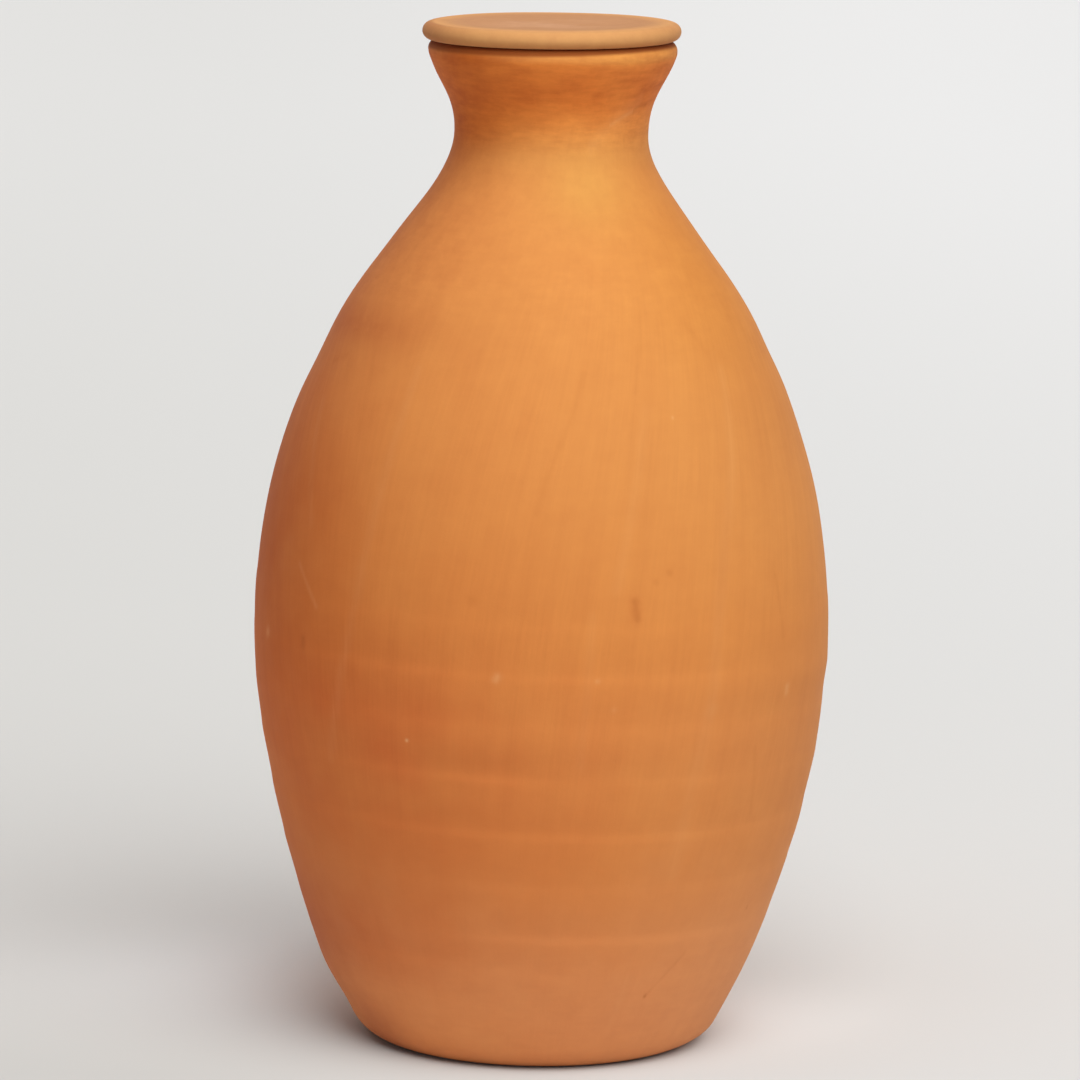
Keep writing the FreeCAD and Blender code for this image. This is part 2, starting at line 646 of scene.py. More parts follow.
@dataclass(frozen=True)
class JarClay(ClayShader):
    """Fired clay of the jar: wiped upright above, with wheel lines below and at the neck."""

    name: str = "jar_fired_clay"
    body: Colour = (0.800, 0.299, 0.0735)
    golden: Colour = (0.820, 0.338, 0.088)
    # Colour of the painted highlight on the shoulder.
    shoulder_highlight: Colour = (0.840, 0.400, 0.098)
    amber: Colour = (0.820, 0.320, 0.056)
    # Deep red of painted shade on the far left, on the neck and on the lip under the lid.
    shade_deep_red: Colour = (0.560, 0.118, 0.013)
    # Colour of painted shade on the left.
    shade_red: Colour = (0.740, 0.170, 0.050)
    dusty: Colour = (0.850, 0.345, 0.123)
    chalky: Colour = (0.880, 0.400, 0.180)
    # Painted colour of the shaded flare under the lip.
    under_lip_shade: Colour = (0.910, 0.272, 0.051)
    lip_highlight: Colour = (0.940, 0.385, 0.085)
    bloom: Colour = (0.920, 0.510, 0.225)
    stain: Colour = (0.500, 0.120, 0.022)
    shadowed: Colour = (0.280, 0.060, 0.009)
    marks: Marks = Marks((), 0.090)
    tilt: RimTilt = RimTilt()
    # Band of painted shade across the left shoulder.
    brushed: Patch = Patch(-62.0, 0.42, 0.2355, 0.0042)
    # Painted shade on the left of the neck and of the lip under the lid.
    neck_and_lip_shade: tuple[Patch | Fade, ...] = (
        Fade(-42.0, 0.50, 0.287, 0.302, 0.50),
        Patch(-68.0, 0.42, 0.2950, 0.0080, 0.58),
        Patch(-44.0, 0.24, 0.3207, 0.0015, 0.40),
    )
    # Painted shade, deeper where less light falls: the far left, the lower left, the left of the heel, the
    # right above the belly,
    # the right of the belly and under the lip; and a narrow deeper band on the front of the belly.
    deeper: tuple[Patch | Fade, ...] = (
        Fade(-85.0, 0.40, 0.110, 0.190, 0.20),
        Fade(-52.0, 0.45, 0.125, 0.085, 0.04),
        Fade(75.0, 0.40, 0.170, 0.210, 0.08),
        Fade(-57.0, 0.18, 0.025, 0.009, 0.24),
        Patch(64.0, 0.25, 0.115, 0.032, 0.04),
        Patch(-20.0, 0.40, 0.3105, 0.0045, 0.06),
        Patch(52.0, 0.45, 0.3110, 0.0060, 0.08),
        Patch(-8.0, 0.42, 0.1080, 0.0035, 0.045),
    )
    # Painted light: lighter on the front right of the belly, where the key lamp falls, and low on the left
    # near the foot, for light bounced from the floor.
    lighter: tuple[Patch | Fade, ...] = (
        Patch(20.0, 0.50, 0.122, 0.022, 0.03),
        Patch(-45.0, 0.40, 0.0140, 0.0120, 0.14),
    )

    def make(self) -> bpy.types.Material:
        """Build the material."""
        material, graph = new_material(self.name)
        surface = Surface.of(graph)
        streaks = self.wiped(surface)
        lines = self.wheel_lines(surface)
        masks = self.marks.masks(surface)
        colour = self.colour(surface, streaks, lines, masks)
        relief = self.relief(surface, streaks, lines) - self.marks.carved(masks)
        self.finish(graph, colour, self.dryness(surface), relief)
        return material

    def wiped(self, surface: Surface) -> Wire:
        """Upright streaks of the wiping hand, about -1 to 1, which fan out upwards.

        From the belly up they lean to the right, more and more, and on the far left the
        other way. The lean is 1.2 * climb + 12 * climb^2 radians, with the climb in metres.
        """
        graph = surface.graph
        climb = surface.height - BELLY_HEIGHT
        above = graph.maths("MAXIMUM", climb, 0.0)
        lean = (climb * 1.2 + above * above * 12.0) * (1.0 - surface.bell(-75.0, 0.5) * 2.4)
        fine = graph.noise(surface.stretched(80.0, 50.0, lean), 1.0, 3.0, 0.7)
        broad = graph.noise(surface.stretched(17.0, 8.0, lean), 1.0, 2.0, 0.6)
        patches = 0.1 + 1.8 * graph.noise(surface.point, 28.0)
        place = surface.height.between(0.060, 0.125) * surface.height.between(0.265, 0.225)
        return ((fine - 0.5) * patches + (broad - 0.5) * 1.1) * (0.35 + 0.65 * place) * 2.2

    def wheel_lines(self, surface: Surface) -> Wire:
        """Level brushing of the wheel, about -1 to 1 on the body and stronger at the neck."""
        fine = surface.graph.noise(surface.stretched(3.0, 520.0), 1.0, 2.0, 0.6)
        brushed = surface.graph.noise(surface.stretched(9.0, 230.0), 1.0, 3.0, 0.65)
        place = 0.30 + 0.70 * surface.height.between(0.215, 0.255)
        place = place + 0.50 * surface.height.between(0.286, 0.302)
        place = place + 0.40 * surface.height.between(0.060, 0.020)
        place = place + 0.90 * surface.bell(-65.0, 0.50) * surface.hill(0.258, 0.020)
        return (fine * 0.5 + brushed * 1.2 - 0.85) * place * 2.0

    def fired(self, surface: Surface) -> Wire:
        """Clay colour: golden above, dusty near the foot; painted shade deep red on the left, neck and
        under the lip; painted highlights.
        """
        graph = surface.graph
        height = surface.height
        clouds = graph.noise(surface.point, 20.0, 3.0, 0.55) - 0.5
        # Golden clay higher up, partly the fire's colour and partly painted light: yellower towards the
        # front right, where the key lamp falls.
        warm_and_lit = height.between(0.120, 0.215) * (0.35 + 0.65 * surface.bell(18.0, 0.9))
        colour = graph.mix(warm_and_lit + clouds * 0.8, self.body, self.golden)
        # Painted highlight: a yellower spot on the shoulder where the key lamp falls.
        colour = graph.mix(Patch(20.0, 0.30, 0.280, 0.008).mask(surface), colour, self.shoulder_highlight)
        colour = graph.mix(Patch(62.0, 0.40, 0.252, 0.024, 0.6).mask(surface), colour, self.amber)
        colour = graph.mix((height + clouds * 0.05).between(0.090, 0.020), colour, self.dusty)
        chalk = height.between(0.150, 0.100) * 0.17 + height.between(0.070, 0.020) * 0.32
        colour = graph.mix(surface.bell(66.0, 0.7) * chalk, colour, self.chalky)
        # Painted shade: deeper, redder clay on the left, away from the key lamp, in bands up the wall.
        left_shade = height.between(0.300, 0.270) * 0.15 + height.between(0.150, 0.115) * 0.27
        left_shade = left_shade + surface.hill(0.116, 0.028) * 0.25 + surface.hill(0.205, 0.030) * 0.06
        left_shade = left_shade - height.between(0.050, 0.015) * 0.20
        colour = graph.mix(surface.bell(-48.0, 0.75) * left_shade * (1.0 + clouds * 2.0), colour, self.shade_red)
        # Painted shade: deeper red on the far left, strongest round the belly.
        far_left_shade = surface.bell(-84.0, 0.75) * (0.12 + 0.60 * surface.hill(0.152, 0.044))
        colour = graph.mix(far_left_shade * (1.0 + clouds * 1.5), colour, self.shade_deep_red)
        # Painted light and shade under the lip: the redder, more saturated colour of shade, lifted in red
        # to stand in for light bounced from below.
        under_lip = height.between(0.288, 0.308) * height.between(0.3225, 0.3190)
        colour = graph.mix(under_lip * (0.95 + clouds), colour, self.under_lip_shade)
        # Painted highlight on the top of the lip at the right, where the key lamp falls.
        painted_lip_highlight = Patch(48.0, 0.50, 0.3217, 0.0015, 0.95)
        colour = graph.mix(painted_lip_highlight.mask(surface), colour, self.lip_highlight)
        # Painted shade on the neck and the lip, in the deep red of shade.
        return graph.mix(sum(neck_and_lip_shade.mask(surface) for neck_and_lip_shade in self.neck_and_lip_shade), colour, self.shade_deep_red)

    def shade(self, surface: Surface, streaks: Wire, lines: Wire) -> Wire:
        """Share by which the fired colour is lighter, or deeper where it is negative, with painted light
        and shade on patches.

        Args:
            surface: The piece's places.
            streaks: Upright streaks.
            lines: Level brushing.

        Returns:
            The share, for Graph.tinted.
        """
        graph = surface.graph
        height = surface.height
        neck = height.between(0.286, 0.298)
        mottle = graph.noise(surface.point, 95.0, 4.0, 0.6) - 0.5
        daubs = graph.noise(surface.stretched(3.2, 400.0), 1.0, 3.0, 0.65) - 0.5
        change = streaks * 0.034 + lines * 0.045 + mottle * (0.08 + 0.08 * neck) + daubs * neck * 0.42
        # Painted shade on patches of the wall, then painted light.
        change = change - sum(patch.mask(surface) for patch in self.deeper)
        change = change + sum(patch.mask(surface) for patch in self.lighter)
        # Painted light: a lighter band round the neck, standing in for light thrown up from the shoulder;
        # and a little lighter near the foot.
        change = change + surface.hill(0.2985, 0.0060) * 0.08 + height.between(0.020, 0.008) * 0.02
        # Painted shade: deeper on the far left, low on the wall above the foot.
        heel = surface.hill(0.036, 0.020) * height.between(0.008, 0.022)
        change = change - surface.bell(-80.0, 0.35) * heel * 0.22
        # Painted shade: a deeper band across the left shoulder below the bulge in the wall, with the
        # brushing running through it.
        return change - self.brushed.mask(surface) * (0.11 + lines * 0.10)

    def colour(self, surface: Surface, streaks: Wire, lines: Wire, masks: list[Wire]) -> Wire:
        """Colour of the surface: the fire's, varied by wiping, brushing and marks, with a painted shadow in
        the gap under the lid.

        Args:
            surface: The piece's places.
            streaks: Upright streaks.
            lines: Level brushing.
            masks: Mask of each mark.

        Returns:
            The colour.
        """
        graph = surface.graph
        colour = graph.tinted(self.fired(surface), self.shade(surface, streaks, lines))
        # Painted shadow in the gap under the lid's edge, a little higher on the right.
        level = self.tilt.level(surface) - surface.bell(60.0, 0.60) * 0.0009
        gap_shadow = level.between(0.3220, 0.3232) * surface.radius.between(0.0335, 0.0350)
        colour = graph.mix(gap_shadow * 0.85, colour, self.shadowed)
        pale = self.marks.covered(masks, Tone.PALE) * (1.0 + streaks * 0.7)
        colour = graph.mix(pale, colour, self.bloom)
        patchy = 0.4 + 1.2 * graph.noise(surface.point, 260.0)
        return graph.mix(self.marks.covered(masks, Tone.DARK) * patchy, colour, self.stain)

    def dryness(self, surface: Surface) -> Wire:
        """Roughness: the clay's own, a little uneven."""
        return self.roughness + (surface.graph.noise(surface.point, 140.0, 2.0) - 0.5) * 0.12

    def relief(self, surface: Surface, streaks: Wire, lines: Wire) -> Wire:
        """Fine relief in millimetres: streaks, brushing, grain and soft lumps."""
        graph = surface.graph
        grain = graph.noise(surface.point, 1400.0, 2.0, 0.6) - 0.5
        lumps = graph.noise(surface.point, 160.0, 2.0, 0.5) - 0.5
        return streaks * 0.012 + lines * 0.014 + grain * 0.03 + lumps * 0.08


@dataclass(frozen=True)
class LidClay(ClayShader):
    """Fired clay of the lid: paler, golden on its edge and dusty on top, with painted shade on its edge
    below and at the sides.
    """

    name: str = "lid_fired_clay"
    body: Colour = (0.605, 0.281, 0.120)
    golden: Colour = (0.790, 0.385, 0.140)
    # Brown of the dent, and of painted shade on the edge.
    brown_and_shade: Colour = (0.520, 0.205, 0.070)
    pale: Colour = (0.690, 0.355, 0.185)
    dent: Place = (-0.0345, 0.0040, 0.0016)
    worn: Place = (-0.0010, -0.0020, 0.0200)

    def make(self) -> bpy.types.Material:
        """Build the material."""
        material, graph = new_material(self.name)
        surface = Surface.of(graph)
        clouds = graph.noise(surface.point, 45.0, 3.0, 0.55)
        mottle = graph.noise(surface.point, 260.0, 4.0, 0.65)
        rings = graph.noise(graph.gathered(surface.radius * 700.0, surface.azimuth * 0.3, 0.0), 1.0, 2.0)
        dent = surface.spot(*self.dent)
        rim = surface.radius.between(0.0290, 0.0390)
        colour = graph.mix(rim, self.body, self.golden)
        colour = graph.mix(surface.spot(*self.worn) * clouds.between(0.30, 0.65), colour, self.pale)
        # Painted shade: browner on the lower half of the edge, and on the edge at the left and, less, at
        # the right; the dent is browner in its own right.
        under_edge_shade = surface.height.between(0.3275, 0.3255) * 0.25
        sides = surface.bell(-80.0, 0.42) * 0.90 + surface.bell(78.0, 0.40) * 0.35
        edge = surface.radius.between(0.0370, 0.0395)
        colour = graph.mix(edge * (under_edge_shade + sides) + dent * 0.5, colour, self.brown_and_shade)
        colour = graph.tinted(colour, (mottle - 0.5) * 0.16 + (rings - 0.5) * 0.06)
        roughness = self.roughness + (clouds - 0.5) * 0.1
        relief = (mottle - 0.5) * 0.10 + (rings - 0.5) * 0.03 + (clouds - 0.5) * 0.15 - dent * 0.15
        self.finish(graph, colour, roughness, relief)
        return material


# The jar


@dataclass(frozen=True)
class Ring:
    """A throwing ring: a shallow groove with a broad upper and a narrow lower flank.

    It is deepest at its middle azimuth, in degrees. Far from there a share of its depth is
    left.
    """

    height: float
    depth: float
    middle: float = 0.0
    spread: float = 60.0
    share: float = 1.0
    upper: float = 0.0060
    lower: float = 0.0019
    slant: float = 0.0022

    def relief(self, azimuth: np.ndarray, height: np.ndarray) -> np.ndarray:
        """Depth of the groove at each place, outwards positive.

        With s the height above the ring, it is -depth * strength * exp(-(s / flank)^2), with
        the upper flank where s is positive and the lower one elsewhere. The strength is
        share + (1 - share) * exp(-(turn / spread)^2). The ring lies lower at the right, by
        slant * sin(azimuth).
        """
        above = height - self.height + self.slant * np.sin(azimuth)
        flank = np.where(above > 0, self.upper, self.lower)
        turn = turned_from(azimuth, self.middle) / math.radians(self.spread)
        strength = self.share + (1 - self.share) * np.exp(-(turn**2))
        return -self.depth * strength * np.exp(-((above / flank) ** 2))


@dataclass(frozen=True)
class Touch:
    """Where the potter's hand left one side of the wall fuller or flatter."""

    azimuth: float
    height: float
    reach: float
    depth: float
    spread: float = 42.0

    def relief(self, azimuth: np.ndarray, height: np.ndarray) -> np.ndarray:
        """Bell-shaped bump: depth * exp(-(turn / spread)^2) * exp(-(climb / reach)^2)."""
        turn = turned_from(azimuth, self.azimuth) / math.radians(self.spread)
        climb = (height - self.height) / self.reach
        return self.depth * np.exp(-(turn**2)) * np.exp(-(climb**2))


@dataclass
class Jar:
    """The thrown jar: foot, egg-shaped wall, flared neck, lip, mouth and water space."""

    foot_radius: float = 0.0457
    heel_round: float = 0.0160
    heel_lean: float = 31.9
    heel_pull: float = 0.27
    floor_thickness: float = 0.0090
    floor_margin: float = 0.0050
    floor_round: float = 0.0180

    belly: Station = Station(0.0929, BELLY_HEIGHT, 0.0, 0.27, 0.45)
    shoulder: Station = Station(0.0553, 0.2533, -36.4, 0.21, 0.60)
    neck: Station = Station(0.0312, 0.2945, 0.0, 0.21, 0.48)
    belly_wall: float = 0.0065
    upper_wall: float = 0.0060

    height: float = 0.3250
    lip_radius: float = 0.0402
    lip_round: float = 0.0036
    lip_depth: float = 0.0039
    lip_lean: float = 16.0
    lip_pull: float = 0.36
    seat_width: float = 0.0018
    mouth_round: float = 0.0018
    mouth_lean: float = 27.0

    widest: float = 0.09286
    tilt_from: float = 0.2900
    ring_wear: float = 0.35
    bumps: float = 0.00010
    columns: int = 216

    rings: tuple[Ring, ...] = (
        Ring(0.1513, 0.00010),
        Ring(0.1353, 0.00025, 5.0, 60.0, 0.30),
        Ring(0.1200, 0.00020, 20.0, 90.0, 0.30, lower=0.0035),
        Ring(0.1019, 0.00040, -8.0, 20.0, 0.42, upper=0.0055),
        Ring(0.0838, 0.00030, -5.0, 45.0, 0.40),
        Ring(0.0663, 0.00018),
        Ring(0.0488, 0.00030, 22.0, 50.0, 0.0),
        Ring(0.0361, 0.00026, -30.0, 45.0, 0.0, slant=0.0050),
    )
    touches: tuple[Touch, ...] = (
        Touch(LEFT, 0.3190, 0.0050, -0.00035),
        Touch(LEFT, 0.3140, 0.0110, -0.00080),
        Touch(LEFT, 0.2970, 0.0100, -0.00055),
        Touch(LEFT, 0.2770, 0.0100, -0.00050),
        Touch(LEFT, 0.2540, 0.0110, -0.00030),
        Touch(LEFT, 0.2220, 0.0110, -0.00065),
        Touch(LEFT, 0.1600, 0.0160, -0.00020),
        Touch(LEFT, 0.1300, 0.0130, -0.00030),
        Touch(LEFT, 0.1100, 0.0080, -0.00030),
        Touch(LEFT, 0.0920, 0.0100, -0.00055),
        Touch(LEFT, 0.0750, 0.0100, -0.00040),
        Touch(LEFT, 0.0560, 0.0100, -0.00045),
        Touch(LEFT, 0.0260, 0.0070, 0.00040),
        Touch(LEFT, 0.0120, 0.0065, -0.00065),
        Touch(LEFT, 0.0005, 0.0040, -0.00030),
        Touch(RIGHT, 0.3150, 0.0080, -0.00030),
        Touch(RIGHT, 0.2970, 0.0080, 0.00010),
        Touch(RIGHT, 0.2560, 0.0120, -0.00030),
        Touch(RIGHT, 0.2260, 0.0080, -0.00045),
        Touch(RIGHT, 0.2000, 0.0180, -0.00040),
        Touch(RIGHT, 0.1620, 0.0180, -0.00045),
        Touch(RIGHT, 0.1280, 0.0060, 0.00025),
        Touch(RIGHT, 0.0980, 0.0110, 0.00060),
        Touch(RIGHT, 0.0740, 0.0140, 0.00050),
        Touch(RIGHT, 0.0180, 0.0060, -0.00010),
        Touch(RIGHT, 0.0040, 0.0060, 0.00050),
    )
    tilt: RimTilt = RimTilt()
    finish: JarClay = JarClay()

    def base(self, flat: float, height: float, rounding: float, rows: int) -> tuple[np.ndarray, Station]:
        """Flat disc seen from the side with the arc that rounds it up.

        Args:
            flat: Radius of the flat disc.
            height: Its height.
            rounding: Radius of the arc.
            rows: Points on the arc.

        Returns:
            The points from near the axis outwards, and the station where the wall starts.
        """
        curve = arc((flat, height + rounding), rounding, -90, -self.heel_lean, rows)
        disc = straight((0.004, height), (flat, height), 9)
        wall = Station(float(curve[-1, 0]), float(curve[-1, 1]), self.heel_lean, pull_up=self.heel_pull)
        return joined(disc, curve), wall

    def lip(self) -> tuple[float, float, Station]:
        """Where the wall meets the lip's ellipse without a corner.

        The ellipse leans as the wall does at the angle where tan angle = -rise * tan lean.

        Returns:
            How high the ellipse is for its breadth, the angle in degrees, and the station.
        """
        rise = self.lip_depth / self.lip_round
        turn = -math.atan(rise * math.tan(math.radians(self.lip_lean)))
        radius = self.lip_radius - self.lip_round * (1 - math.cos(turn))
        height = self.height - self.lip_depth * (1 - math.sin(turn))
        return rise, math.degrees(turn), Station(radius, height, self.lip_lean, pull_down=self.lip_pull)

    def outer_outline(self) -> np.ndarray:
        """Outline from the foot's middle, up the outside, over the lip to the seat."""
        foot, heel = self.base(self.foot_radius, 0.0, self.heel_round, 16)
        rise, turn, lip = self.lip()
        centre = (self.lip_radius - self.lip_round, self.height - self.lip_depth)
        return joined(
            foot,
            span(heel, self.belly, 116),
            span(self.belly, self.shoulder, 108),
            span(self.shoulder, self.neck, 44),
            span(self.neck, lip, 28),
            arc(centre, self.lip_round, turn, 90, 16, rise),
        )

    def inner_outline(self) -> np.ndarray:
        """Outline from the seat into the mouth and down the inside to the floor's middle."""
        seat_outer = self.lip_radius - self.lip_round
        seat_inner = seat_outer - self.seat_width
        turn = math.radians(self.mouth_lean)
        mouth_radius = seat_inner - self.mouth_round * math.cos(turn)
        mouth_middle = self.height - self.mouth_round
        mouth_height = mouth_middle + self.mouth_round * math.sin(turn)
        mouth = Station(mouth_radius, mouth_height, self.mouth_lean, pull_down=self.lip_pull)
        floor_flat = self.foot_radius - self.floor_margin
        floor, well = self.base(floor_flat, self.floor_thickness, self.floor_round, 8)
        belly = self.belly.inner(self.belly_wall)
        shoulder = self.shoulder.inner(self.upper_wall)
        neck = self.neck.inner(self.upper_wall)
        return joined(
            straight((seat_outer, self.height), (seat_inner, self.height), 3),
            arc((seat_inner, mouth_middle), self.mouth_round, 90, 180 - self.mouth_lean, 8),
            span(neck, mouth, 12)[::-1],
            span(shoulder, neck, 12)[::-1],
            span(belly, shoulder, 16)[::-1],
            span(well, belly, 16)[::-1],
            floor[::-1],
        )

    def relief(self, azimuth: np.ndarray, height: np.ndarray) -> np.ndarray:
        """Sum of the throwing rings, the touches and a soft unevenness, outwards positive."""
        worn = 1 + self.ring_wear * unevenness(2 * azimuth, height, 0.030, 11)
        marks = worn * sum(ring.relief(azimuth, height) for ring in self.rings)
        marks = marks + sum(touch.relief(azimuth, height) for touch in self.touches)
        return marks + self.bumps * unevenness(azimuth, height, 0.060, 7)

    def build(self) -> bpy.types.Object:
        """Make the jar's mesh and dress it."""
        outer = self.outer_outline()
        outline = joined(outer, self.inner_outline())
        radius, azimuth, height = revolved(outline, self.columns)
        normal = outward(outline)
        outside = np.arange(len(outline)) < len(outer)
        level = outline[:, 1]
        kept = eased(level, 0.0005, 0.0060) * eased(level, self.height, self.height - self.lip_depth)
        weight = (outside * kept)[:, None]
        lift = self.relief(azimuth, height) * weight
        radius = np.minimum(radius + lift * normal[:, :1], self.widest)
        height = height + lift * normal[:, 1:]
        share = eased(height, self.tilt_from, self.height - self.lip_depth)
        height = height - self.tilt.drop(radius, azimuth) * share
        piece = closed_mesh("thrown_jar", radius, azimuth, height)
        piece.data.materials.append(self.finish.make())
        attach(piece, "root")
        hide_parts("jar")
        return piece


# The lid


@dataclass
class Lid:
    """The thrown disc lid: full round edge, border, shallow dish and the spigot below."""

    seat_height: float = 0.3250
    radius: float = 0.0411
    thickness: float = 0.0057
    border: float = 0.0030
    dish_depth: float = 0.0008
    spigot_depth: float = 0.0050
    spigot_radius: float = 0.0295
    spigot_round: float = 0.0015
    corner: float = 0.0002
    out_of_round: float = 0.004
    warp: float = 0.00012
    bulge: Touch = Touch(LEFT, 0.3280, 0.0100, 0.00045)
    tilt: RimTilt = RimTilt()
    columns: int = 216
    finish: LidClay = LidClay()

    def outline(self) -> np.ndarray:
        """Outline from the spigot's middle, out over the edge and back to the dish's middle."""
        edge_round = self.thickness / 2
        edge = self.radius - edge_round
        top = self.seat_height + self.thickness
        foot = self.seat_height - self.spigot_depth
        spigot_flat = self.spigot_radius - self.spigot_round
        corner_low = (self.spigot_radius, self.seat_height - self.corner)
        corner_out = (self.spigot_radius + self.corner, self.seat_height)
        rim = edge - self.border
        across = np.linspace(rim, 0.002, 26)
        dish = np.column_stack((across, top - self.dish_depth * (1 - (across / rim) ** 2) ** 2))
        return joined(
            straight((0.002, foot), (spigot_flat, foot), 10),
            arc((spigot_flat, foot + self.spigot_round), self.spigot_round, -90, 0, 7),
            straight((self.spigot_radius, foot + self.spigot_round), corner_low, 4),
            straight(corner_low, corner_out, 2),
            straight(corner_out, (edge, self.seat_height), 8),
            arc((edge, self.seat_height + edge_round), edge_round, -90, 90, 33),
            straight((edge, top), (rim, top), 6),
            dish,
        )

    def build(self) -> bpy.types.Object:
        """Make the lid's mesh and dress it."""
        outline = self.outline()
        radius, azimuth, height = revolved(outline, self.columns)
        near_edge = eased(radius, 0.030, 0.038)
        wander = self.out_of_round * near_edge * unevenness(azimuth, height * 0, 1.0, 21)
        radius = radius * (1 + wander)
        radius = radius + near_edge * self.bulge.relief(azimuth, height)
        above = eased(height, self.seat_height, self.seat_height + self.thickness)
        height = height - self.warp * above * (1 + unevenness(azimuth, radius, 0.030, 22))
        height = height - self.tilt.drop(radius, azimuth)
        piece = closed_mesh("disc_lid", radius, azimuth, height)
        piece.data.materials.append(self.finish.make())
        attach(piece, "root")
        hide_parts("lid")
        return piece


# The studio


@dataclass(frozen=True)
class Sun:
    """A soft lamp far away. Azimuth and elevation say where it stands, in degrees."""

    name: str
    azimuth: float
    elevation: float
    strength: float
    softness: float
    colour: Colour = (1.0, 1.0, 1.0)

    def place(self) -> None:
        """Add the lamp, turned so that it shines from its place to the origin."""
        lamp = bpy.data.lights.new(self.name, "SUN")
        lamp.energy = self.strength
        lamp.angle = math.radians(self.softness)
        lamp.color = self.colour
        turn, climb = math.radians(self.azimuth), math.radians(self.elevation)
        out = math.cos(climb)
        back = Vector((math.sin(turn) * out, -math.cos(turn) * out, math.sin(climb)))
        holder = bpy.data.objects.new(self.name, lamp)
        holder.rotation_euler = back.to_track_quat("Z", "Y").to_euler()
        bpy.context.scene.collection.objects.link(holder)


